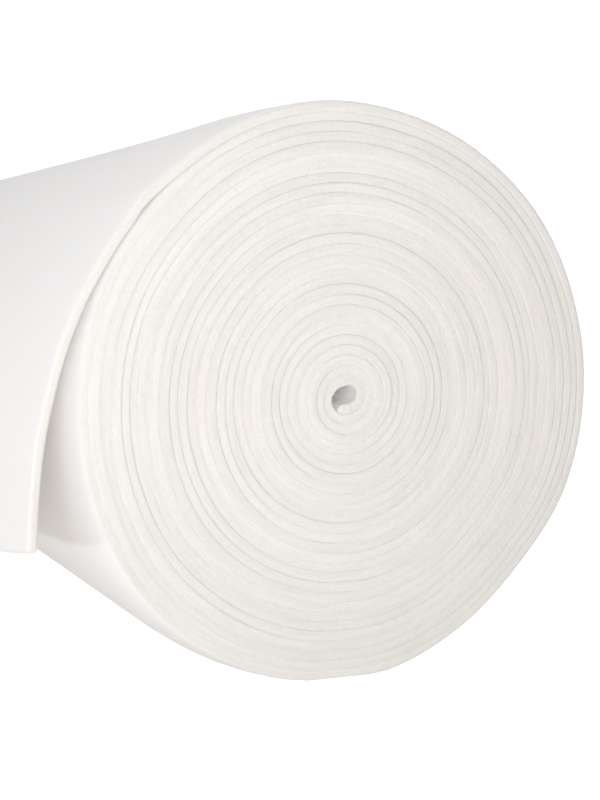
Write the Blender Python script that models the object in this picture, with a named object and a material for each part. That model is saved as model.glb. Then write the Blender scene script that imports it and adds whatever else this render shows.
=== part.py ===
"""Roll of foam stabilizer: one long length of thin cloth-faced foam, wound up and lying on
its side, with its loose end hanging down the left flank.

The roll's axis runs along Y, with the end that is seen first at -Y. Angles are in degrees,
anticlockwise from +X as seen from that near end. The winding runs outward the same way.
"""

import math

import bmesh
import bpy

# The cut length of cloth
CLOTH_WIDTH = 1.4732
CLOTH_LENGTH = 13.716
CLOTH_THICKNESS = 0.0047
EDGE_ROUND = 0.0012

# The winding
TURN_PITCH = 0.00515
HEART_RADIUS = 0.006
LEAVING_ANGLE = 140.0

# The loose end, which is cut a little askew and so hangs lower away from the near end
LOOSE_NEAR_LENGTH = 0.1765
LOOSE_DROP = 0.034
LOOSE_DROP_FADE = 0.17

# Radii of the outermost turn where the loose end leaves it
WOUND_LENGTH = CLOTH_LENGTH - LOOSE_NEAR_LENGTH - LOOSE_DROP
LAST_CENTRE_RADIUS = math.sqrt(WOUND_LENGTH * TURN_PITCH / math.pi + HEART_RADIUS**2)
LAST_RADIUS = LAST_CENTRE_RADIUS + CLOTH_THICKNESS / 2
MEAN_RADIUS = LAST_RADIUS - TURN_PITCH / 2

# The roll rests on a flat that its own weight presses into it, with soft edges
PRESSED_SHARE = 0.985
PRESSED_EASE = 0.006
AXIS_HEIGHT = PRESSED_SHARE * MEAN_RADIUS

# How far the winding is from truly round, as shares of its even radius: at the rim of the
# near end, and along the body behind it
ROUNDNESS = (
    # angle, near_end, body
    (-220, 0.956, 0.988),
    (-200, 0.959, 0.989),
    (-180, 0.952, 1.004),
    (-160, 0.960, 1.014),
    (-140, 0.976, 1.028),
    (-120, 0.982, 1.020),
    (-100, 0.991, 1.006),
    (-80, 1.000, 1.004),
    (-60, 0.988, 0.990),
    (-40, 0.982, 0.988),
    (-20, 1.012, 1.006),
    (0, 1.017, 1.013),
    (20, 1.013, 1.009),
    (40, 1.009, 1.004),
    (60, 0.995, 0.991),
    (80, 0.985, 0.981),
    (100, 0.986, 0.979),
    (120, 0.974, 0.988),
)
ROW_STEP = 20
NEAR_FADE = 0.009

# A low bulge behind the near rim, at the upper left
BULGE_RISE = 0.015
BULGE_ANGLE = 104
BULGE_SPREAD = 18
BULGE_DEPTH = 0.045

# At the near rim the cloth starts to lift a little before it leaves the winding
EARLY_LIFT = 0.0030
EARLY_TURNS = 0.05
EARLY_FADE = 0.012

# The ends show the turns in bands of about three, parted by a shallow spiral groove
BAND_COUNT = 9
GROOVE_DEPTH = 0.0025
SHOULDER_DEPTH = 0.0022
HEART_DEPTH = 0.008
HEART_LINE = 0.0035
BAND_PITCH = (LAST_RADIUS - 2 * TURN_PITCH - HEART_LINE) / BAND_COUNT

# The turns' edges don't lie quite level: two slow waves along the winding, in turns
EDGE_WAVES = (
    # height, turns, start
    (0.0016, 5.3, 0.8),
    (0.0011, 2.3, 2.0),
)

# Where the loose end's middle line runs at the near end, from the roll's axis, below the
# place where it leaves the winding
LOOSE_LINE = (
    # x, z
    (-0.1181, 0.0827),
    (-0.1263, 0.0702),
    (-0.1350, 0.0548),
    (-0.1418, 0.0409),
    (-0.1494, 0.0200),
    (-0.1545, -0.0005),
    (-0.1587, -0.0235),
    (-0.1606, -0.0480),
    (-0.1612, -0.0720),
    (-0.1612, -0.0950),
    (-0.1600, -0.1220),
)
LOOSE_LINE_RUN_IN = 0.02
LOOSE_WAVE = 0.006
LOOSE_WAVE_LENGTH = 0.95
LOOSE_TOP_FADE = 0.05
SEAM_GAP = 0.0003

# How finely the faces are divided, and the angle between faces that shows as an edge
STEPS_ROUND = 60
LOOSE_STEPS = 14
LINE_STEPS = 12
BODY_DEPTHS = (0.006, 0.013, 0.026, 0.056, 0.110, 0.300, 0.740, 1.180, 1.380, 1.455)
SHARP_ANGLE = 35

CLOTH_COLOUR = (0.91, 0.895, 0.87, 1.0)
CLOTH_ROUGHNESS = 0.85


def clear_scene():
    for obj in list(bpy.data.objects):
        bpy.data.objects.remove(obj)


def cloth_material(name):
    material = bpy.data.materials.new(name)
    material.use_nodes = True
    shader = material.node_tree.nodes["Principled BSDF"]
    shader.inputs["Base Color"].default_value = CLOTH_COLOUR
    shader.inputs["Roughness"].default_value = CLOTH_ROUGHNESS
    shader.inputs["Metallic"].default_value = 0.0
    return material


def smooth_between(before, low, high, after, part):
    """The value part of the way from low to high, on a smooth curve through all four."""
    slope = high - before
    bend = 2 * before - 5 * low + 4 * high - after
    twist = 3 * (low - high) + after - before
    return low + 0.5 * part * (slope + part * (bend + part * twist))


def table_share(column, angle):
    """One column of ROUNDNESS at any angle."""
    place = (angle - ROUNDNESS[0][0]) / ROW_STEP
    row = math.floor(place)
    around = [ROUNDNESS[(row + i) % len(ROUNDNESS)][column] for i in (-1, 0, 1, 2)]
    return smooth_between(*around, place - row)


def even_radius(angle):
    """Radius of the outermost turn's outer face if the roll were truly round."""
    return LAST_RADIUS - TURN_PITCH * (LEAVING_ANGLE - angle) / 360


def roundness(angle, depth):
    """Share of the even radius at an angle and a depth behind the near end."""
    near = math.exp(-max(depth, 0.0) / NEAR_FADE)
    share = table_share(1, angle) * near + table_share(2, angle) * (1 - near)
    behind = max(depth, 0.0) / BULGE_DEPTH
    off = ((angle - BULGE_ANGLE + 180) % 360 - 180) / BULGE_SPREAD
    share += BULGE_RISE * behind * math.exp(1 - behind - off**2)
    down = -math.sin(math.radians(angle))
    if down > 0:
        even = even_radius(angle)
        on_floor = 1 + (AXIS_HEIGHT / (down * even) - 1) * MEAN_RADIUS / even
        easing = max(PRESSED_EASE - abs(share - on_floor), 0.0)
        share = min(share, on_floor) - easing**2 / (4 * PRESSED_EASE)
    return share


def early_lift(turns_left, depth):
    """How far the cloth stands off the winding, with a share of a turn left to wind."""
    part = max(1 - turns_left / EARLY_TURNS, 0.0)
    return EARLY_LIFT * part**2 * math.exp(-max(depth, 0.0) / NEAR_FADE)


def winding_point(even, angle, depth, turns_left=1.0):
    """A point of the winding, from its radius in a truly round roll. y is depth, so 0 is
    the near end."""
    pressed = (roundness(angle, depth) - 1) * even / MEAN_RADIUS
    radius = even * (1 + pressed) + early_lift(turns_left, depth)
    turn = math.radians(angle)
    return (radius * math.cos(turn), depth, radius * math.sin(turn))


def edge_wander(even):
    """How far along the axis the cloth's edges stray, at an even radius."""
    turn = (even - HEART_RADIUS) / TURN_PITCH
    return sum(h * math.sin(2 * math.pi * turn / turns + s) for h, turns, s in EDGE_WAVES)


def groove_radius(step):
    """Even radius of the spiral groove, counted in steps from the heart. Its last turn but
    one is the inner side of the outermost turn, and its last turn is the rim."""
    turns = step / STEPS_ROUND
    coarse = min(turns, BAND_COUNT)
    return HEART_LINE + coarse * BAND_PITCH + (turns - coarse) * TURN_PITCH


def step_angle(step):
    return LEAVING_ANGLE - 360 + (step % STEPS_ROUND) * 360 / STEPS_ROUND


def rim_angle(step):
    """As step_angle, but the rim's last step is back at the leaving angle."""
    return LEAVING_ANGLE - 360 + step * 360 / STEPS_ROUND


def turns_left_at(step):
    return BAND_COUNT + 1 - step / STEPS_ROUND


def end_line(mesh, steps, offset, sink, end, inward, across=0):
    """Points of one end along the spiral: offset from the groove, or from the groove a
    number of steps further out, and sunk into the roll. A sunk line isn't lifted."""
    line = []
    for step in steps:
        even = groove_radius(step + across) + offset
        depth = end + edge_wander(even) + inward * sink
        turns_left = 1.0 if sink else turns_left_at(step)
        line.append(mesh.verts.new(winding_point(even, step_angle(step), depth, turns_left)))
    return line


def add_end(mesh, end, inward, rim):
    """One end of the roll: the grooved spiral, out to the rim's points. Returns the corner
    points of the outermost turn's edge where the loose end leaves it."""
    band_steps = range((BAND_COUNT + 1) * STEPS_ROUND + 1)
    groove = end_line(mesh, band_steps[:-1], 0.0, GROOVE_DEPTH, end, inward) + rim
    inner = end_line(mesh, band_steps, EDGE_ROUND, 0.0, end, inward)
    outer = end_line(mesh, band_steps, -EDGE_ROUND, 0.0, end, inward, STEPS_ROUND)
    for step in band_steps[:-1]:
        following = step + 1
        sides = (
            (groove[step], groove[following]),
            (inner[step], inner[following]),
            (outer[step], outer[following]),
            (groove[step + STEPS_ROUND], groove[following + STEPS_ROUND]),
        )
        for (a, b), (c, d) in zip(sides, sides[1:]):
            mesh.faces.new((a, b, d, c))
    heart = mesh.verts.new((0.0, end + inward * HEART_DEPTH, 0.0))
    for step in range(STEPS_ROUND):
        mesh.faces.new((heart, groove[step], groove[step + 1]))
    mesh.faces.new((heart, groove[0], inner[0], outer[0], groove[STEPS_ROUND]))
    return inner[-1], outer[-1]


def add_rim_column(mesh, step):
    """The outer face's points from end to end at one step round the rim."""
    angle = rim_angle(step)
    even = even_radius(angle)
    wander = edge_wander(even)
    depths = (SHOULDER_DEPTH + wander, *BODY_DEPTHS, CLOTH_WIDTH - SHOULDER_DEPTH + wander)
    left = 1 - step / STEPS_ROUND
    return [mesh.verts.new(winding_point(even, angle, depth, left)) for depth in depths]


def object_from(mesh, name, parent):
    """Closes a bmesh into a named, smooth-shaded object with its own material."""
    bmesh.ops.recalc_face_normals(mesh, faces=mesh.faces)
    data = bpy.data.meshes.new(name)
    mesh.to_mesh(data)
    mesh.free()
    data.materials.append(cloth_material(name))
    data.shade_smooth()
    data.set_sharp_from_angle(angle=math.radians(SHARP_ANGLE))
    obj = bpy.data.objects.new(name, data)
    bpy.context.scene.collection.objects.link(obj)
    obj.parent = parent
    return obj


def wound_roll(parent):
    """The wound cloth as one solid, with the outermost turn's step where it unwinds."""
    mesh = bmesh.new()
    columns = [add_rim_column(mesh, step) for step in range(STEPS_ROUND + 1)]
    for left, right in zip(columns, columns[1:]):
        for place in range(len(left) - 1):
            mesh.faces.new((left[place], right[place], right[place + 1], left[place + 1]))
    near = add_end(mesh, 0.0, 1, [column[0] for column in columns])
    far = add_end(mesh, CLOTH_WIDTH, -1, [column[-1] for column in columns])
    under, over = columns[0], columns[-1]
    last = len(under) - 1
    for place in range(last):
        corners = [under[place], under[place + 1], over[place + 1], over[place]]
        if place == 0:
            corners += [near[1], near[0]]
        if place == last - 1:
            corners[2:2] = [far[0], far[1]]
        mesh.faces.new(corners)
    return object_from(mesh, "wound_roll", parent)


def leaving_radius(depth):
    """Radius of the cloth's outer face where it leaves the winding."""
    x, _, z = winding_point(LAST_RADIUS, LEAVING_ANGLE, depth, 0.0)
    return math.hypot(x, z)


def further_out(depth, length):
    """How much further out than at the near end the loose end lies, at a depth and at a
    length down it."""
    early = early_lift(0.0, 0.0) - early_lift(0.0, depth)
    settled = leaving_radius(depth) - leaving_radius(0.0) + early
    return settled * math.exp(-length / LOOSE_TOP_FADE) - early * math.exp(-length / EARLY_FADE)


def loose_line_points():
    """The loose end's middle line at the near end, finely stepped, as (x, z, length)."""
    turn = math.radians(LEAVING_ANGLE)
    middle = leaving_radius(0.0) - CLOTH_THICKNESS / 2
    start = (middle * math.cos(turn), middle * math.sin(turn))
    run_in = (LOOSE_LINE_RUN_IN * math.sin(turn), LOOSE_LINE_RUN_IN * math.cos(turn))
    before = (start[0] + run_in[0], start[1] - run_in[1])
    last, end = LOOSE_LINE[-2], LOOSE_LINE[-1]
    after = (2 * end[0] - last[0], 2 * end[1] - last[1])
    rows = [before, start, *LOOSE_LINE, after]
    points = [(*start, 0.0)]
    for place in range(1, len(rows) - 2):
        around = rows[place - 1 : place + 3]
        for step in range(1, LINE_STEPS + 1):
            part = step / LINE_STEPS
            x = smooth_between(*(row[0] for row in around), part)
            z = smooth_between(*(row[1] for row in around), part)
            run = math.hypot(x - points[-1][0], z - points[-1][1])
            points.append((x, z, points[-1][2] + run))
    return points


def along_line(points, length):
    """Place and direction at a length down the loose end's middle line."""
    for low, high in zip(points, points[1:]):
        if high[2] >= length:
            break
    span = high[2] - low[2]
    part = (length - low[2]) / span
    direction = ((high[0] - low[0]) / span, (high[1] - low[1]) / span)
    return low[0] + part * span * direction[0], low[1] + part * span * direction[1], direction


def loose_length(depth):
    """Length of the loose end at a depth behind the near end."""
    return LOOSE_NEAR_LENGTH + LOOSE_DROP * (1 - math.exp(-depth / LOOSE_DROP_FADE))


def loose_point(points, part, depth, side):
    """A point of the loose end: part of the way down it, at a depth behind the near end,
    side metres outward of the middle of its thickness."""
    depth_inside = min(max(depth, 0.0), CLOTH_WIDTH)
    length = SEAM_GAP + part * (loose_length(depth_inside) - SEAM_GAP)
    x, z, direction = along_line(points, length)
    turn = math.radians(LEAVING_ANGLE)
    lift = further_out(depth_inside, length)
    away = 1 - math.exp(-depth_inside / LOOSE_DROP_FADE)
    wave = LOOSE_WAVE * math.sin(2 * math.pi * depth_inside / LOOSE_WAVE_LENGTH)
    sway = -wave * away * part**2
    x += lift * math.cos(turn) + sway + side * direction[1]
    z += lift * math.sin(turn) - side * direction[0]
    return (x, depth, z)


def loose_section():
    """The cloth's cross-section as (side, depth) round its four rounded edges."""
    half = CLOTH_THICKNESS / 2
    wander = edge_wander(LAST_RADIUS)
    near = (
        (-half, SHOULDER_DEPTH),
        (-half + EDGE_ROUND, 0.0),
        (half - EDGE_ROUND, 0.0),
        (half, SHOULDER_DEPTH),
    )
    far = [(side, CLOTH_WIDTH - depth) for side, depth in reversed(near)]
    outward = [(half, depth) for depth in BODY_DEPTHS]
    inward = [(-half, depth) for depth in reversed(BODY_DEPTHS)]
    edges = [(side, depth + wander) for side, depth in near]
    far_edges = [(side, depth + wander) for side, depth in far]
    return [*edges, *outward, *far_edges, *inward]


def loose_end(parent):
    """The last of the cloth, which parts from the winding and hangs beside it."""
    mesh = bmesh.new()
    points = loose_line_points()
    section = loose_section()
    rings = []
    for step in range(LOOSE_STEPS + 1):
        part = step / LOOSE_STEPS
        rings.append([mesh.verts.new(loose_point(points, part, d, s)) for s, d in section])
    for upper, lower in zip(rings, rings[1:]):
        for place in range(len(section)):
            following = (place + 1) % len(section)
            mesh.faces.new((upper[place], upper[following], lower[following], lower[place]))
    mesh.faces.new(rings[0])
    mesh.faces.new(rings[-1])
    return object_from(mesh, "loose_end", parent)


def stand_on_origin(axis, pieces):
    """Moves the roll's axis so that the pieces' box stands centred on the origin."""
    points = [vert.co for piece in pieces for vert in piece.data.vertices]
    x_values = [point.x for point in points]
    y_values = [point.y for point in points]
    x = -(min(x_values) + max(x_values)) / 2
    y = -(min(y_values) + max(y_values)) / 2
    axis.location = (x, y, AXIS_HEIGHT)


def main():
    clear_scene()
    axis = bpy.data.objects.new("roll_axis", None)
    bpy.context.scene.collection.objects.link(axis)
    pieces = [wound_roll(axis), loose_end(axis)]
    stand_on_origin(axis, pieces)


main()
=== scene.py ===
"""Looks for the roll of foam stabilizer: one long strip of knit-faced foam cloth, wound up and
lying on its side, with its loose end hanging down the left flank.

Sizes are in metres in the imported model's frame. The roll's axis runs along Y, with the near end
at -Y. Angles are in degrees, anticlockwise from +X as seen from the near end, and the winding
runs outward the same way. Depth is measured from the near end into the roll.
"""

import math

import bmesh
import bpy
import numpy as np
from mathutils import Matrix, Vector


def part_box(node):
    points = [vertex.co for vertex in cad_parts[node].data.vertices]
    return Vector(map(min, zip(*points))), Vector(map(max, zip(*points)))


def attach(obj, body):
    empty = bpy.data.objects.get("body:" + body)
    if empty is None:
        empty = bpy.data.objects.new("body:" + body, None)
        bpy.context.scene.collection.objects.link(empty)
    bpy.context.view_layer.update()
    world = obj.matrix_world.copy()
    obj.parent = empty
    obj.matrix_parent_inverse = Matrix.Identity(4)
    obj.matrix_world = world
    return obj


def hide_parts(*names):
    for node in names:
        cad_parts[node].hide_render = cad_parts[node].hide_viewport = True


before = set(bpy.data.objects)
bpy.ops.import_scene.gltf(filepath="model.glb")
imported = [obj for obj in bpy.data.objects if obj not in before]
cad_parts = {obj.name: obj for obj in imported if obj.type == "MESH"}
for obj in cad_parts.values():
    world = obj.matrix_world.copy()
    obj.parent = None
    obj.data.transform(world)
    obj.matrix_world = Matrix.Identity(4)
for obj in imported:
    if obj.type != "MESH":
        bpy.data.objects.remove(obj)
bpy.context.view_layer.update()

# The cut length of cloth
CLOTH_WIDTH = 1.4732
CLOTH_LENGTH = 13.716
CLOTH_THICKNESS = 0.0047

# The winding
TURN_PITCH = 0.00515
HEART_RADIUS = 0.006
LEAVING_ANGLE = 140.0

# The loose end, which is cut a little askew and so hangs lower away from the near end
LOOSE_NEAR_LENGTH = 0.1765
LOOSE_DROP = 0.034
LOOSE_DROP_FADE = 0.17

# Radii of the outermost turn where the loose end leaves it
WOUND_LENGTH = CLOTH_LENGTH - LOOSE_NEAR_LENGTH - LOOSE_DROP
LAST_CENTRE_RADIUS = math.sqrt(WOUND_LENGTH * TURN_PITCH / math.pi + HEART_RADIUS**2)
LAST_RADIUS = LAST_CENTRE_RADIUS + CLOTH_THICKNESS / 2
MEAN_RADIUS = LAST_RADIUS - TURN_PITCH / 2
TURNS = (LAST_CENTRE_RADIUS - HEART_RADIUS) / TURN_PITCH

# The roll rests on a flat that its own weight presses into it, with soft edges
PRESSED_SHARE = 0.985
PRESSED_EASE = 0.006
AXIS_HEIGHT = PRESSED_SHARE * MEAN_RADIUS
NEAR_Y = -CLOTH_WIDTH / 2
# Places less far below the axis than this share of their radius are clear of the floor
LEAST_DOWN = 0.001

# How far the winding is from truly round, as shares of its even radius: at the rim of the
# near end, and along the body behind it
ROUNDNESS = (
    # angle, near_end, body
    (-220, 0.956, 0.988),
    (-200, 0.959, 0.989),
    (-180, 0.952, 1.004),
    (-160, 0.960, 1.014),
    (-140, 0.976, 1.028),
    (-120, 0.982, 1.020),
    (-100, 0.991, 1.006),
    (-80, 1.000, 1.004),
    (-60, 0.988, 0.990),
    (-40, 0.982, 0.988),
    (-20, 1.012, 1.006),
    (0, 1.017, 1.013),
    (20, 1.013, 1.009),
    (40, 1.009, 1.004),
    (60, 0.995, 0.991),
    (80, 0.985, 0.981),
    (100, 0.986, 0.979),
    (120, 0.974, 0.988),
)
ROW_STEP = 20
NEAR_FADE = 0.009

# A low bulge behind the near rim, at the upper left
BULGE_RISE = 0.015
BULGE_ANGLE = 104
BULGE_SPREAD = 18
BULGE_DEPTH = 0.045

# At the near rim the cloth starts to lift a little before it leaves the winding
EARLY_LIFT = 0.0030
EARLY_TURNS = 0.05
EARLY_FADE = 0.012

# The turns' edges don't lie quite level: waves along the winding
EDGE_WAVES = (
    # height, turns, start
    (0.0012, 5.3, 0.8),
    (0.00035, 2.3, 2.0),
    (0.00014, 1.37, 0.4),
    (0.00012, 0.61, 1.1),
    (0.00010, 0.173, 2.6),
    (0.00009, 0.081, 0.3),
    (0.00009, 0.047, 1.7),
)

# Where two turns lie apart, so that a dark line shows between them, and how slowly that
# fades, in turns inward from the place where the loose end leaves
OPEN_TURNS = (
    # turns_in, opening, spread
    (1.1, 0.00012, 0.9),
    (2.95, 0.00020, 1.0),
    (5.4, 0.00016, 1.2),
    (7.5, 0.00022, 1.1),
    (10.4, 0.00024, 1.3),
    (13.6, 0.00014, 1.2),
    (16.2, 0.00018, 1.0),
    (19.3, 0.00012, 1.2),
    (22.4, 0.00018, 1.0),
    (25.2, 0.00012, 1.0),
)

# Small swells of the turns in and out
SWELLS = (
    # height, turns, start
    (0.00006, 1.43, 0.2),
    (0.00004, 0.57, 1.9),
    (0.00003, 0.137, 0.9),
)
SWELL_FADE = 1.5

# The heart is wound tighter, and a little flattened
HEART_PRESS = 0.12
HEART_FLAT = 0.0012
HEART_FLAT_ANGLE = 35
HEART_FADE = 0.022

# Where the loose end's middle line runs at the near end, from the roll's axis, below the
# place where it leaves the winding
LOOSE_LINE = (
    # x, z
    (-0.1181, 0.0827),
    (-0.1263, 0.0702),
    (-0.1350, 0.0548),
    (-0.1418, 0.0409),
    (-0.1494, 0.0200),
    (-0.1545, -0.0005),
    (-0.1587, -0.0235),
    (-0.1606, -0.0480),
    (-0.1612, -0.0720),
    (-0.1612, -0.0950),
    (-0.1600, -0.1220),
)
LOOSE_LINE_RUN_IN = 0.02
LOOSE_WAVE = 0.006
LOOSE_WAVE_LENGTH = 0.95
LOOSE_TOP_FADE = 0.05

# The strip's cut edge in section, from the inner face round to the outer one: between the
# turns, and where the edge is free and the knit draws round it
COVERED_PROFILE = (
    # face, inset, depth
    (-1, 0.0, 0.0030),
    (-1, 0.0, 0.0008),
    (-1, 0.00012, 0.0003),
    (-1, 0.0005, 0.00011),
    (-1, 0.0013, 0.0),
    (1, 0.0013, 0.0),
    (1, 0.0005, 0.00011),
    (1, 0.00012, 0.0003),
    (1, 0.0, 0.0008),
    (1, 0.0, 0.0030),
)
FREE_PROFILE = (
    # face, inset, depth
    (-1, 0.0, 0.0030),
    (-1, 0.0, 0.0014),
    (-1, 0.0003, 0.0006),
    (-1, 0.0009, 0.00018),
    (-1, 0.0017, 0.0),
    (1, 0.0017, 0.0),
    (1, 0.0009, 0.00018),
    (1, 0.0003, 0.0006),
    (1, 0.0, 0.0014),
    (1, 0.0, 0.0030),
)
PROFILE_POINTS = len(FREE_PROFILE)

# Which sides of each profile are cut foam: from the first number to before the second
COVERED_FOAM = (0, 9)
FREE_FOAM = (1, 6)

# The foam springs open where it is cut, and fills the turn. Over and under the heart it
# swells more, and the turns' edges lie more level
EDGE_SWELL = 0.23
UPRIGHT_SWELL = 0.11
UPRIGHT_LEVEL = 0.55
SWELL_DEPTH = 0.012

# How finely the strip is divided: across its width where turns cover it, and where it shows
COVERED_DEPTHS = (0.012, 0.030, 0.090, 1.420)
SHOWN_DEPTHS = (
    0.006, 0.012, 0.018, 0.024, 0.030, 0.040, 0.050, 0.060, 0.075, 0.090, 0.110, 0.145,
    0.190, 0.250, 0.340, 0.450, 0.570, 0.690, 0.810, 0.930, 1.050, 1.160, 1.260, 1.363,
    1.420, 1.445, 1.460,
)
STEPS_ROUND = 96
SHOWN_TURNS = 1.12
LOOSE_STEPS = 34
LINE_STEPS = 12
END_ROUNDING = (
    # inset, distance from the cut end
    (0.0018, 0.0),
    (0.0008, 0.00035),
    (0.00025, 0.0010),
    (0.0, 0.0020),
    (0.0, 0.0032),
)

# The photograph's camera, measured in even roll radii from the axis at the near end
CAMERA_UNIT = 0.1485
CAMERA_PLACE = (-2.17, -3.991, 0.336)
# The roll's axis as the camera sees it: to the right, up and toward the camera
AXIS_SEEN = (-0.4431, 0.0862, -0.8923)
CAMERA_LENS = 59.6
SENSOR_LONG_SIDE = 36

# Both finishes are dull, and light goes a little way into the knit
DULL_SPECULAR = 0.25
SHEEN_ROUGHNESS = 0.6
GLOW_COLOUR = (1.0, 0.9, 0.8)
GLOW_DEPTH = 0.003

# The knit: its colour, how dull its darker clouds are, and how many clouds and loops a metre has
KNIT_WHITE = (0.895, 0.878, 0.868)
KNIT_CLOUDED = 0.965
KNIT_CLOUD_SCALE = 9.0
KNIT_FUZZ_SCALE = 900.0
# Strength and depth
KNIT_BUMP = (0.35, 0.0003)
FOAM_BUMP = (0.8, 0.0012)

# The cut foam: its colour with its darkest and lightest tones, and the brown of the painted shade in
# the valleys
FOAM_CREAM = (0.935, 0.902, 0.863)
FOAM_DARKEST, FOAM_LIGHTEST = 0.62, 1.24
PAINTED_VALLEY_SHADE = (0.75, 0.70, 0.635)

# How many clouds, tufts and cells a metre of foam has, and how slowly its tone changes from
# turn to turn
FOAM_CLOUD_SCALE = 14.0
TUFT_SCALE = 380.0
CELL_SCALE = 1400.0
TURN_TONE_SCALE = 2.2

# How often the cut foam's streaks change along the strip, through it and in from the cut, and
# how often the painted shade in the valleys between the turns changes
STREAK_SCALE = (30.0, 650.0, 300.0)
VALLEY_SCALE = (7.0, 160.0, 0.0)

# How far from the strip's middle its edge starts to slope down, and is down in the valley. There
# it has a share of painted shade in brown, with less of it where the noise is low
VALLEY_START, VALLEY_FOOT = 0.0006, 0.0023
VALLEY_SHADE_SHARE = 0.58
LEAST_VALLEY_SHADE = 0.1
LOW_NOISE, HIGH_NOISE = 0.40, 0.64

# The studio: a bright backdrop, a dim room behind the camera, and a white table that glows,
# so that its shadows stay pale. The roll is lit by a warm share of that glow, and by a backdrop
# that is dimmer towards the horizon than the camera sees it
BACKDROP_LIGHT = 1.08
BACKDROP_COLOUR = (0.985, 0.985, 1.0)
HORIZON_SHARE, OVERHEAD_SHARE = 0.38, 1.12
HORIZON_RISE = 0.6
ROOM_LIGHT = 0.25
ROOM_COLOUR = (1.0, 0.962, 0.91)
# How far toward +Y the room's light ends, and the backdrop's is in full
ROOM_END, BACKDROP_FULL = -0.05, 0.35
TABLE_GLOW = 0.74
TABLE_WHITE = 0.38
TABLE_SHARE = (0.40, 0.37, 0.34)
TABLE_REACH = 30

# The lamps, from the roll's axis at the near end. The low one shines in under the loose end
DAYLIGHT = (0.975, 0.99, 1.0)
SKYLIGHT = (0.93, 0.96, 1.0)
LAMPS = (
    # name, x, y, z, size, power, colour
    ("key", -0.64, -0.70, 0.18, 0.40, 1.1, DAYLIGHT),
    ("fill", -0.28, -0.60, 0.04, 0.24, 1.6, DAYLIGHT),
    ("low", -0.56, 0.13, -0.124, 0.035, 0.28, SKYLIGHT),
)

# The picture's tones, and enough bounces for white cloth to light itself
GAMMA = 1.25
EXPOSURE = 0.25
BOUNCES = 16
DIFFUSE_BOUNCES = 14


def smooth_between(before, low, high, after, part):
    """The value part of the way from low to high, on a smooth curve through all four."""
    slope = high - before
    bend = 2 * before - 5 * low + 4 * high - after
    twist = 3 * (low - high) + after - before
    return low + 0.5 * part * (slope + part * (bend + part * twist))


def roundness_share(column, angle):
    """One column of ROUNDNESS at any angles."""
    shares = np.array([row[column] for row in ROUNDNESS])
    place = (angle - ROUNDNESS[0][0]) / ROW_STEP
    row = np.floor(place).astype(int)
    around = [shares[(row + i) % len(shares)] for i in (-1, 0, 1, 2)]
    return smooth_between(*around, place - row)


def roundness(turns_in, depth):
    """Share of the even radius, turns in from the leaving place and at a depth."""
    angle = LEAVING_ANGLE - 360 * turns_in
    near = np.exp(-np.clip(depth, 0, CLOTH_WIDTH) / NEAR_FADE)
    share = roundness_share(1, angle) * near + roundness_share(2, angle) * (1 - near)
    behind = np.clip(depth, 0, CLOTH_WIDTH) / BULGE_DEPTH
    off = ((angle - BULGE_ANGLE + 180) % 360 - 180) / BULGE_SPREAD
    share = share + BULGE_RISE * behind * np.exp(1 - behind - off * off)
    rim = LAST_RADIUS - TURN_PITCH * (turns_in % 1)
    down = np.maximum(-np.sin(np.radians(angle)), LEAST_DOWN)
    on_floor = 1 + (AXIS_HEIGHT / (down * rim) - 1) * MEAN_RADIUS / rim
    easing = np.maximum(PRESSED_EASE - abs(share - on_floor), 0)
    return np.minimum(share, on_floor) - easing * easing / (4 * PRESSED_EASE)


def waves(rows, turns):
    """The sum of a table's waves at a number of turns."""
    return sum(height * np.sin(2 * math.pi * turns / length + start) for height, length, start in rows)


def upright(turns_in):
    """How nearly over or under the heart the strip is: 1 there, and 0 at its sides."""
    return np.sin(np.radians(LEAVING_ANGLE - 360 * turns_in)) ** 2


def edge_wander(turns_in):
    """How far along the axis the strip's edges stray."""
    strays = waves(EDGE_WAVES, TURNS + CLOTH_THICKNESS / 2 / TURN_PITCH - turns_in)
    return strays * (1 - UPRIGHT_LEVEL * upright(turns_in))


def opening_shift(turns_in):
    """How far a turn is moved out so that the open turns part. It is nothing at both ends."""
    total = sum(opening for _, opening, _ in OPEN_TURNS)
    shift = total * turns_in / TURNS
    for place, opening, spread in OPEN_TURNS:
        part = np.clip((turns_in - place) / spread + 0.5, 0, 1)
        shift = shift - opening * part * part * (3 - 2 * part)
    swell = waves(SWELLS, turns_in) * np.clip(turns_in / SWELL_FADE, 0, 1)
    return shift + swell


def early_lift(turns_in, depth):
    """How far the outermost turn stands off the next one, at the near rim."""
    part = np.clip(1 - turns_in / EARLY_TURNS, 0, 1)
    return EARLY_LIFT * part * part * np.exp(-np.clip(depth, 0, CLOTH_WIDTH) / NEAR_FADE)


def strip_place(along, through, depth):
    """Where points lie in the flat strip: along it from the leaving place, through its
    thickness, and in from the nearer cut edge."""
    from_edge = np.minimum(depth, CLOTH_WIDTH - depth)
    return np.stack(np.broadcast_arrays(along, through, from_edge), axis=-1)


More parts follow.
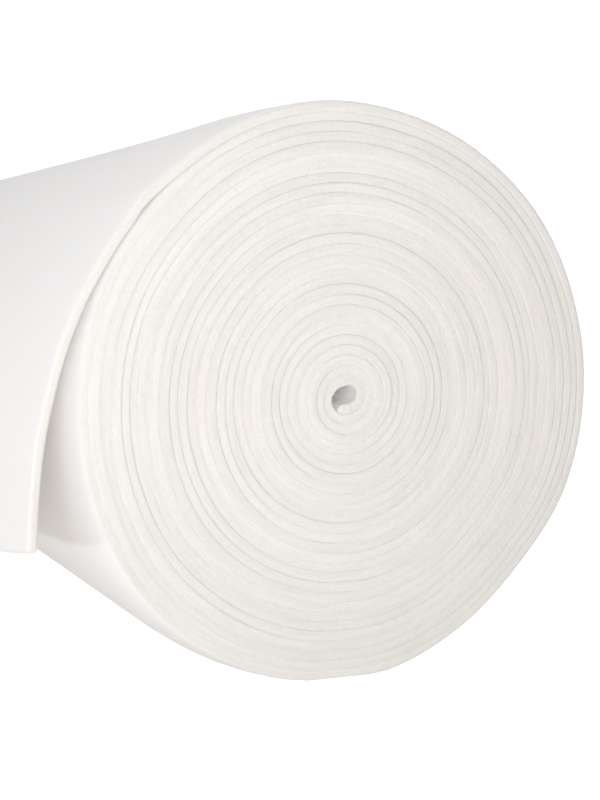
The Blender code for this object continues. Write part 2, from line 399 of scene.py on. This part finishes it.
def wound_points(turns_in, face, inset, depth, rounding):
    """Points of the wound strip. Stations vary down the arrays, section points across."""
    turns_in = turns_in[:, None]
    even = LAST_RADIUS - TURN_PITCH * turns_in
    share = roundness(turns_in, depth)
    outer = even * (1 + (share - 1) * even / MEAN_RADIUS)
    heart = np.exp(-even / HEART_FADE)
    angle = np.radians(LEAVING_ANGLE - 360 * turns_in)
    outer = outer + early_lift(turns_in, depth)
    outer = outer + HEART_FLAT * heart * np.cos(2 * (angle - math.radians(HEART_FLAT_ANGLE)))
    press = np.minimum(1, 1 + 2 * (share - 1) * even / MEAN_RADIUS) * (1 - HEART_PRESS * heart)
    from_edge = np.minimum(depth, CLOTH_WIDTH - depth) / SWELL_DEPTH
    swell = EDGE_SWELL + UPRIGHT_SWELL * upright(turns_in)
    half = CLOTH_THICKNESS / 2 * press * (1 + swell * np.exp(-from_edge * from_edge))
    middle = outer - CLOTH_THICKNESS / 2 + opening_shift(turns_in)
    radius = middle + face * (half - inset) * rounding[:, None]
    y = NEAR_Y + depth + edge_wander(turns_in)
    along = math.pi * TURN_PITCH * turns_in**2 - 2 * math.pi * LAST_CENTRE_RADIUS * turns_in
    place = strip_place(along, face * (CLOTH_THICKNESS / 2 - inset), depth)
    # The swollen edges stop at the floor
    z = np.maximum(radius * np.sin(angle), -AXIS_HEIGHT)
    return np.stack([radius * np.cos(angle), y, z], axis=-1), place


def loose_line():
    """The loose end's middle line at the near end, finely stepped: x, z and length."""
    turn = math.radians(LEAVING_ANGLE)
    radius = leaving_radius(0.0)
    start = (radius * math.cos(turn), radius * math.sin(turn))
    run_in = (LOOSE_LINE_RUN_IN * math.sin(turn), LOOSE_LINE_RUN_IN * math.cos(turn))
    before = (start[0] + run_in[0], start[1] - run_in[1])
    last, end = LOOSE_LINE[-2], LOOSE_LINE[-1]
    after = (2 * end[0] - last[0], 2 * end[1] - last[1])
    rows = np.array([before, start, *LOOSE_LINE, after])
    line = [rows[1]]
    for place in range(1, len(rows) - 2):
        for step in range(1, LINE_STEPS + 1):
            line.append(smooth_between(*rows[place - 1 : place + 3], step / LINE_STEPS))
    line = np.array(line)
    runs = np.hypot(*np.diff(line, axis=0).T)
    return line[:, 0], line[:, 1], np.concatenate([[0], np.cumsum(runs)])


def leaving_radius(depth):
    """Radius of the strip's middle where it leaves the winding."""
    share = roundness(np.array(0.0), depth)
    middle = LAST_RADIUS * (1 + (share - 1) * LAST_RADIUS / MEAN_RADIUS) - CLOTH_THICKNESS / 2
    return middle + early_lift(0.0, depth)


def further_out(depth, length):
    """How much further out than at the near end the loose end lies, at a depth and at a
    length down it."""
    early = early_lift(0.0, 0.0) - early_lift(0.0, depth)
    settled = leaving_radius(depth) - leaving_radius(0.0) + early
    return settled * np.exp(-length / LOOSE_TOP_FADE) - early * np.exp(-length / EARLY_FADE)


def loose_points(part, from_cut, face, inset, depth, rounding):
    """Points of the loose end: part of the way down it, and a distance short of its cut."""
    line_x, line_z, line_length = loose_line()
    held = np.clip(depth, 0, CLOTH_WIDTH)
    drop = LOOSE_DROP * (1 - np.exp(-held / LOOSE_DROP_FADE))
    length = part[:, None] * (LOOSE_NEAR_LENGTH + drop) - from_cut[:, None]
    x = np.interp(length, line_length, line_x)
    z = np.interp(length, line_length, line_z)
    slope_x = np.interp(length, line_length, np.gradient(line_x, line_length))
    slope_z = np.interp(length, line_length, np.gradient(line_z, line_length))
    slope = np.hypot(slope_x, slope_z)
    lift = further_out(held, length)
    away = 1 - np.exp(-held / LOOSE_DROP_FADE)
    sway = LOOSE_WAVE * np.sin(2 * math.pi * held / LOOSE_WAVE_LENGTH) * away * part[:, None] ** 2
    side = face * (CLOTH_THICKNESS / 2 - inset) * rounding[:, None]
    turn = math.radians(LEAVING_ANGLE)
    x = x + lift * math.cos(turn) - sway + side * slope_z / slope
    z = z + lift * math.sin(turn) - side * slope_x / slope
    y = NEAR_Y + depth + edge_wander(np.zeros_like(x))
    place = strip_place(length, face * (CLOTH_THICKNESS / 2 - inset), depth)
    return np.stack([x, y, z], axis=-1), place


def section(profile, depths):
    """The strip's closed section as arrays of face, inset and depth, from the near cut edge
    along the outer face, round the far cut edge and back along the inner face."""
    near = list(profile)
    far = [(face, inset, CLOTH_WIDTH - depth) for face, inset, depth in reversed(profile)]
    outer = [(1, 0.0, depth) for depth in depths]
    inner = [(-1, 0.0, depth) for depth in reversed(depths)]
    return np.array(near + outer + far + inner).T


def stations():
    """Where the strip is cut into rings, from the heart outward: turns in from the leaving
    place for the winding, then parts of the loose end."""
    steps = np.arange(round(TURNS * STEPS_ROUND) - 1, -1, -1) / STEPS_ROUND
    start = TURNS - np.array([distance for _, distance in END_ROUNDING]) / (2 * math.pi * HEART_RADIUS)
    rounding = [1 - 2 * inset / CLOTH_THICKNESS for inset, _ in END_ROUNDING]
    wound = np.concatenate([start, steps[steps < start[-1] - 0.5 / STEPS_ROUND]])
    wound_rounding = np.ones(len(wound))
    wound_rounding[: len(rounding)] = rounding
    part = np.concatenate([np.arange(1, LOOSE_STEPS) / LOOSE_STEPS, np.ones(len(END_ROUNDING))])
    from_cut = np.zeros(len(part))
    from_cut[-len(rounding) :] = [distance for _, distance in reversed(END_ROUNDING)]
    loose_rounding = np.ones(len(part))
    loose_rounding[-len(rounding) :] = rounding[::-1]
    return wound, wound_rounding, part, from_cut, loose_rounding


def ring_faces(low, high, count):
    """Quads between two rings of points that start at these numbers."""
    return [
        (low + i, high + i, high + (i + 1) % count, low + (i + 1) % count) for i in range(count)
    ]


def matching_places(coarse_depths, fine_depths):
    """The fine section's point for each of the coarse section's points."""
    profile = list(range(PROFILE_POINTS))
    outer = [SHOWN_DEPTHS.index(depth) for depth in COVERED_DEPTHS]
    far = [PROFILE_POINTS + fine_depths + place for place in profile]
    inner = [2 * PROFILE_POINTS + 2 * fine_depths - 1 - place for place in reversed(outer)]
    return profile + [PROFILE_POINTS + place for place in outer] + far + inner


def joining_faces(low, high, places, count):
    """Faces between a coarse ring and a fine one. places has the fine ring's number for
    each of the coarse ring's points."""
    faces = []
    for i, place in enumerate(places):
        after = (i + 1) % len(places)
        last = places[after] if after else count
        fine = [high + step % count for step in range(place, last + 1)]
        faces.append((low + i, *fine, low + after))
    return faces


def cap_faces(start, count, depths):
    """Faces over a cut end: across the strip between the two faces, and the two corners."""
    profile = PROFILE_POINTS
    outer = [profile - 1 + i for i in range(depths + 2)]
    inner = [0, *[count - 1 - i for i in range(depths)], profile * 2 + depths - 1]
    faces = [
        (start + outer[i], start + outer[i + 1], start + inner[i + 1], start + inner[i])
        for i in range(depths + 1)
    ]
    faces.append(tuple(start + i for i in range(profile)))
    faces.append(tuple(start + profile + depths + i for i in range(profile)))
    return faces


def foam_slots(foam, depths):
    """Whether the face after each point of a section is cut foam, as material slots."""
    near = list(range(foam[0], foam[1]))
    far = [2 * PROFILE_POINTS + depths - 2 - place for place in near]
    return [place in near + far for place in range(2 * (PROFILE_POINTS + depths))]


def strip_faces(rings, split, coarse, fine):
    """Faces over all the rings, with their material slots. The rings before the split are
    coarse, and the others are fine."""
    covered_slots = foam_slots(COVERED_FOAM, len(COVERED_DEPTHS))
    shown_slots = foam_slots(FREE_FOAM, len(SHOWN_DEPTHS))
    places = matching_places(len(COVERED_DEPTHS), len(SHOWN_DEPTHS))
    faces, slots = [], []
    for ring in range(rings - 1):
        if ring < split - 1:
            faces += ring_faces(ring * coarse, (ring + 1) * coarse, coarse)
            slots += covered_slots
        elif ring == split - 1:
            faces += joining_faces(ring * coarse, split * coarse, places, fine)
            slots += covered_slots
        else:
            start = split * coarse + (ring - split) * fine
            faces += ring_faces(start, start + fine, fine)
            slots += shown_slots
    last = split * coarse + (rings - split - 1) * fine
    for start, count, depths in (
        (0, coarse, len(COVERED_DEPTHS)),
        (last, fine, len(SHOWN_DEPTHS)),
    ):
        cap = cap_faces(start, count, depths)
        faces += cap
        slots += [True] * len(cap)
    return faces, slots


def strip_mesh():
    """The whole strip as one closed mesh, with knit and foam faces."""
    wound, wound_rounding, part, from_cut, loose_rounding = stations()
    covered = section(COVERED_PROFILE, COVERED_DEPTHS)
    shown = section(FREE_PROFILE, SHOWN_DEPTHS)
    split = int(np.sum(wound > SHOWN_TURNS))
    blocks = (
        wound_points(wound[:split], *covered, wound_rounding[:split]),
        wound_points(wound[split:], *shown, wound_rounding[split:]),
        loose_points(part, from_cut, *shown, loose_rounding),
    )
    points = np.concatenate([block.reshape(-1, 3) for block, _ in blocks])
    strip_places = np.concatenate([place.reshape(-1, 3) for _, place in blocks])
    faces, slots = strip_faces(len(wound) + len(part), split, covered.shape[1], shown.shape[1])
    mesh = bpy.data.meshes.new("foam_cloth")
    mesh.from_pydata(points.tolist(), [], faces)
    mesh.attributes.new("strip_place", "FLOAT_VECTOR", "POINT")
    mesh.attributes["strip_place"].data.foreach_set("vector", strip_places.ravel())
    mesh.polygons.foreach_set("material_index", np.array(slots, dtype=np.int32))
    mesh.polygons.foreach_set("use_smooth", np.ones(len(slots), dtype=bool))
    return mesh


def face_out(mesh):
    """Turns every face to point out of the cloth."""
    work = bmesh.new()
    work.from_mesh(mesh)
    bmesh.ops.recalc_face_normals(work, faces=work.faces)
    work.to_mesh(mesh)
    work.free()


class Value:
    """A shader socket's value, so that sums on it are written as plain expressions."""

    def __init__(self, socket):
        self.socket = socket

    def worked_out(self, operation, first, second):
        return Shading(self.socket.id_data).node(
            "ShaderNodeMath", {"operation": operation}, {0: first, 1: second}
        )

    def __add__(self, other):
        return self.worked_out("ADD", self, other)

    def __radd__(self, other):
        return self.worked_out("ADD", other, self)

    def __mul__(self, other):
        return self.worked_out("MULTIPLY", self, other)

    def __rmul__(self, other):
        return self.worked_out("MULTIPLY", other, self)


class Shading:
    """A node tree, with one way to add any node."""

    def __init__(self, tree):
        self.tree = tree

    def node(self, kind, settings=None, sockets=None, out=0):
        """Adds a node, sets its settings first and then its sockets, and returns an output."""
        node = self.tree.nodes.new(kind)
        for name, setting in (settings or {}).items():
            setattr(node, name, setting)
        for name, value in (sockets or {}).items():
            if isinstance(value, Value):
                self.tree.links.new(value.socket, node.inputs[name])
            else:
                node.inputs[name].default_value = value
        return Value(node.outputs[out]) if node.outputs else None

    def mixed(self, amount, low, high):
        """A colour part of the way from low to high."""
        sockets = {0: amount, 6: low, 7: high}
        return self.node("ShaderNodeMix", {"data_type": "RGBA"}, sockets, 2)

    def noise(self, place, scale, detail=2.0):
        """A soft random value that changes about scale times in a unit of place."""
        sockets = {"Vector": place, "Scale": scale, "Detail": detail}
        return self.node("ShaderNodeTexNoise", None, sockets)

    def ramp(self, value, start, stop, low, high):
        """A value that goes smoothly from low to high while another goes from start to stop."""
        sockets = {
            "Value": value,
            "From Min": start,
            "From Max": stop,
            "To Min": low,
            "To Max": high,
        }
        return self.node("ShaderNodeMapRange", {"interpolation_type": "SMOOTHSTEP"}, sockets)

    def stretched(self, place, scale):
        """A place stretched by its own scale each way."""
        return self.node("ShaderNodeVectorMath", {"operation": "MULTIPLY"}, {0: place, 1: scale})

    def part_of(self, place, axis):
        """One part of a place, named by its axis."""
        return self.node("ShaderNodeSeparateXYZ", None, {"Vector": place}, axis)

    def bump(self, height, strength, depth):
        sockets = {"Strength": strength, "Distance": depth, "Height": height}
        return self.node("ShaderNodeBump", None, sockets)

    def finish(self, colour, normal, roughness, sheen, glow):
        """Ends a cloth's material. sheen and glow are its shares of fuzz and of light inside."""
        shader = self.node(
            "ShaderNodeBsdfPrincipled",
            None,
            {
                "Base Color": colour,
                "Normal": normal,
                "Roughness": roughness,
                "Specular IOR Level": DULL_SPECULAR,
                "Sheen Weight": sheen,
                "Sheen Roughness": SHEEN_ROUGHNESS,
                "Subsurface Weight": glow,
                "Subsurface Radius": GLOW_COLOUR,
                "Subsurface Scale": GLOW_DEPTH,
            },
        )
        self.node("ShaderNodeOutputMaterial", None, {"Surface": shader})


def new_shading(name):
    """A new material, and the way to its nodes."""
    material = bpy.data.materials.new(name)
    material.use_nodes = True
    material.node_tree.nodes.clear()
    return material, Shading(material.node_tree)


def with_alpha(colour, share=1.0):
    """A colour made a share as bright, as a colour socket takes it."""
    return tuple(share * part for part in colour) + (1.0,)


def knit_face():
    """The fine white knit bonded to the foam: almost even in tone, and softly fuzzy."""
    material, shading = new_shading("knit_face")
    place = shading.node("ShaderNodeTexCoord", out="Object")
    cloud = shading.noise(place, KNIT_CLOUD_SCALE)
    fuzz = shading.noise(place, KNIT_FUZZ_SCALE, 3.0)
    tone = cloud * 0.7 + fuzz * 0.3
    colour = shading.mixed(tone, with_alpha(KNIT_WHITE, KNIT_CLOUDED), with_alpha(KNIT_WHITE))
    bump = shading.bump(fuzz, *KNIT_BUMP)
    shading.finish(colour, bump, roughness=0.9, sheen=0.15, glow=0.7)
    return material


def cut_foam():
    """Cut foam: cream, with fine open cells, drawn into soft streaks along the cut, and with
    painted shade in brown down in the valleys between the turns."""
    material, shading = new_shading("cut_foam")
    place = shading.node("ShaderNodeTexCoord", out="Object")
    strip = shading.node("ShaderNodeAttribute", {"attribute_name": "strip_place"}, out="Vector")
    streaks = shading.noise(shading.stretched(strip, STREAK_SCALE), 1.0, 3.0)
    turn_tone = shading.noise(strip, TURN_TONE_SCALE, 1.0)
    cloud = shading.noise(place, FOAM_CLOUD_SCALE)
    tufts = shading.noise(place, TUFT_SCALE)
    cells = shading.noise(place, CELL_SCALE)
    tone = cloud * 0.12 + turn_tone * 0.26 + streaks * 0.32 + tufts * 0.14 + cells * 0.16
    darkest, lightest = with_alpha(FOAM_CREAM, FOAM_DARKEST), with_alpha(FOAM_CREAM, FOAM_LIGHTEST)
    colour = shading.mixed(tone, darkest, lightest)
    through = shading.part_of(strip, "Y")
    from_middle = shading.node("ShaderNodeMath", {"operation": "ABSOLUTE"}, {0: through})
    # Painted shade: the foam's colour is drawn toward brown in the valleys between the turns, patchy
    # with noise
    valley_shade = shading.ramp(from_middle, VALLEY_START, VALLEY_FOOT, 0.0, VALLEY_SHADE_SHARE)
    valley_noise = shading.noise(shading.stretched(strip, VALLEY_SCALE), 1.0)
    shade_breakup = shading.ramp(valley_noise, LOW_NOISE, HIGH_NOISE, LEAST_VALLEY_SHADE, 1.0)
    colour = shading.mixed(valley_shade * shade_breakup, colour, with_alpha(PAINTED_VALLEY_SHADE))
    height = cells * 0.3 + tufts * 0.4 + streaks * 0.3
    bump = shading.bump(height, *FOAM_BUMP)
    shading.finish(colour, bump, roughness=0.95, sheen=0.0, glow=0.0)
    return material


def foam_cloth():
    """The one piece that shows: the strip, wound and hanging. Its right flank is put where
    the solid's is, and the place of the roll's axis across the frame is returned."""
    mesh = strip_mesh()
    widest = max(point.co.x for point in mesh.vertices)
    axis_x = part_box("wound_roll")[1].x - widest
    mesh.transform(Matrix.Translation((axis_x, 0, AXIS_HEIGHT)))
    face_out(mesh)
    mesh.materials.append(knit_face())
    mesh.materials.append(cut_foam())
    cloth = bpy.data.objects.new("foam_cloth", mesh)
    bpy.context.scene.collection.objects.link(cloth)
    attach(cloth, "root")
    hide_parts("wound_roll", "loose_end")
    return axis_x


def pale_floor():
    """The white table that the roll lies on. It isn't part of the object."""
    mesh = bpy.data.meshes.new("floor")
    corners = [(-1, -1, 0), (1, -1, 0), (1, 1, 0), (-1, 1, 0)]
    mesh.from_pydata([TABLE_REACH * Vector(corner) for corner in corners], [], [(0, 1, 2, 3)])
    material, shading = new_shading("pale_floor")
    seen = shading.node("ShaderNodeLightPath", out="Is Camera Ray")
    glow = shading.mixed(seen, with_alpha(TABLE_SHARE), (1, 1, 1, 1))
    shader = shading.node(
        "ShaderNodeBsdfPrincipled",
        None,
        {
            "Base Color": (TABLE_WHITE, TABLE_WHITE, TABLE_WHITE, 1),
            "Roughness": 0.9,
            "Specular IOR Level": 0.0,
            "Emission Color": glow,
            "Emission Strength": TABLE_GLOW,
        },
    )
    shading.node("ShaderNodeOutputMaterial", None, {"Surface": shader})
    mesh.materials.append(material)
    floor = bpy.data.objects.new("floor", mesh)
    bpy.context.scene.collection.objects.link(floor)


def soft_light(name, place, target, size, power, colour):
    """A round lamp that faces a target."""
    data = bpy.data.lights.new(name, "AREA")
    data.shape = "DISK"
    data.size = size
    data.energy = power
    data.color = colour
    lamp = bpy.data.objects.new(name, data)
    bpy.context.scene.collection.objects.link(lamp)
    lamp.location = place
    aim = target - place
    lamp.rotation_euler = aim.to_track_quat("-Z", "Y").to_euler()


def white_room():
    """The bright backdrop beyond the roll, and the dim room on the camera's side."""
    world = bpy.data.worlds.new("white_room")
    bpy.context.scene.world = world
    world.use_nodes = True
    world.node_tree.nodes.clear()
    shading = Shading(world.node_tree)
    direction = shading.node("ShaderNodeTexCoord", out="Generated")
    overhead = shading.ramp(shading.part_of(direction, "Z"), 0.0, HORIZON_RISE, 0.0, 1.0)
    dim = with_alpha(BACKDROP_COLOUR, BACKDROP_LIGHT * HORIZON_SHARE)
    bright = with_alpha(BACKDROP_COLOUR, BACKDROP_LIGHT * OVERHEAD_SHARE)
    lighting = shading.mixed(overhead, dim, bright)
    seen = shading.node("ShaderNodeLightPath", out="Is Camera Ray")
    backdrop = shading.mixed(seen, lighting, with_alpha(BACKDROP_COLOUR, BACKDROP_LIGHT))
    behind = shading.ramp(shading.part_of(direction, "Y"), ROOM_END, BACKDROP_FULL, 0.0, 1.0)
    colour = shading.mixed(behind, with_alpha(ROOM_COLOUR, ROOM_LIGHT), backdrop)
    light = shading.node("ShaderNodeBackground", None, {"Color": colour})
    shading.node("ShaderNodeOutputWorld", None, {"Surface": light})


def studio(near_end):
    """The room, the lamps about the roll's near end, and the picture's tones."""
    white_room()
    for name, x, y, z, size, power, colour in LAMPS:
        soft_light(name, near_end + Vector((x, y, z)), near_end, size, power, colour)
    scene = bpy.context.scene
    scene.view_settings.view_transform = "Standard"
    scene.view_settings.gamma = GAMMA
    scene.view_settings.exposure = EXPOSURE
    scene.cycles.max_bounces = BOUNCES
    scene.cycles.diffuse_bounces = DIFFUSE_BOUNCES


def photo_camera(near_end):
    """The photograph's camera, held so that the roll's axis runs as AXIS_SEEN says."""
    data = bpy.data.cameras.new("camera")
    data.sensor_width = SENSOR_LONG_SIDE
    data.lens = CAMERA_LENS
    eye = bpy.data.objects.new("camera", data)
    bpy.context.scene.collection.objects.link(eye)
    away = Vector(AXIS_SEEN).normalized()
    up = Vector((0, 1, 0))
    up = (up - up.dot(away) * away).normalized()
    turned = Matrix((away.cross(up), away, up)).to_4x4()
    place = near_end + CAMERA_UNIT * Vector(CAMERA_PLACE)
    eye.matrix_world = Matrix.Translation(place) @ turned
    bpy.context.scene.camera = eye


axis_at_near_end = Vector((foam_cloth(), NEAR_Y, AXIS_HEIGHT))
pale_floor()
studio(axis_at_near_end)
photo_camera(axis_at_near_end)
